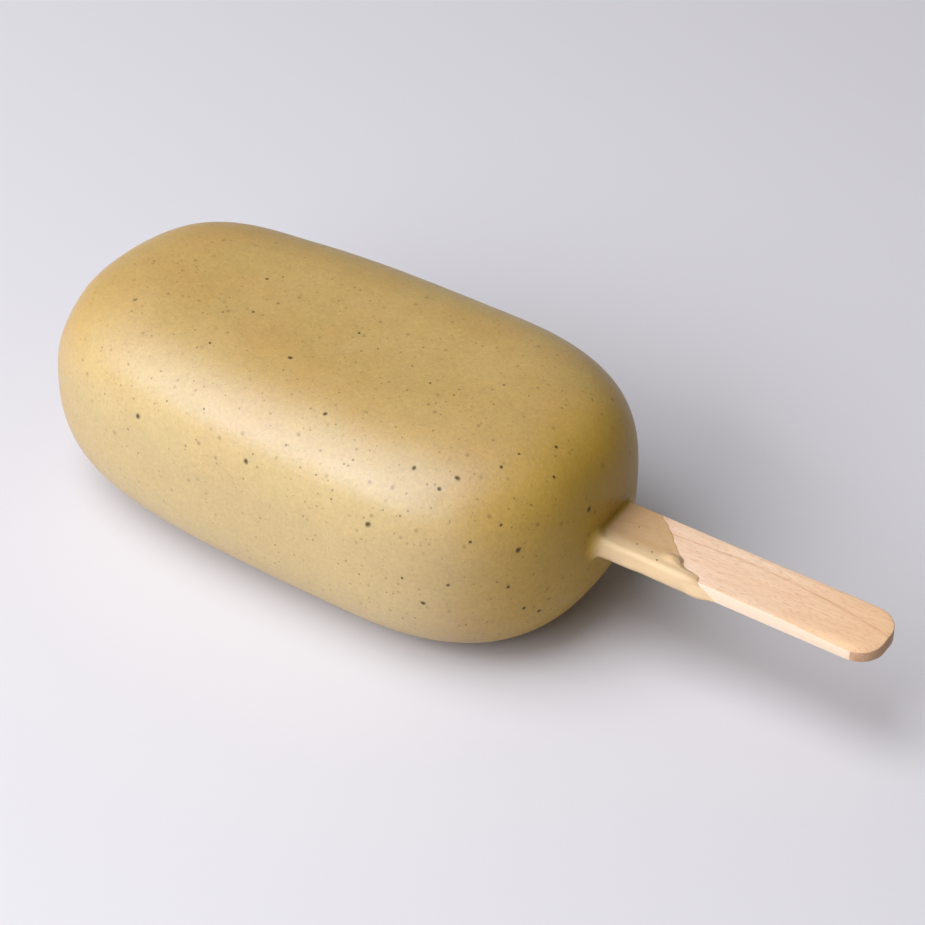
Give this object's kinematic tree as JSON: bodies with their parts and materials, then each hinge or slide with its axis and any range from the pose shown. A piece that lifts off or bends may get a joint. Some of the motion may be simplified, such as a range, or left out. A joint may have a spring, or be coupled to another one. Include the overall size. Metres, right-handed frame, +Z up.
{
  "type": "ice lolly",
  "caption": "Coated ice lolly bar with rounded edges on a flat wooden stick, lying on its side, with a thin film of coating set on the stick.",
  "frame": {"origin": "Under the middle of the whole lolly, on the surface that its flat underside lies on.", "axes": "+X runs along the stick towards its free tip, +Y across the bar, +Z up through its thickness."},
  "size_m": [0.1376, 0.0516, 0.0358],
  "materials": {
    "coating": "satin",
    "wood": "matte"
  },
  "bodies": {
    "root": {"coated_bar": "coating", "stick": "wood"}
  },
  "joints": []
}
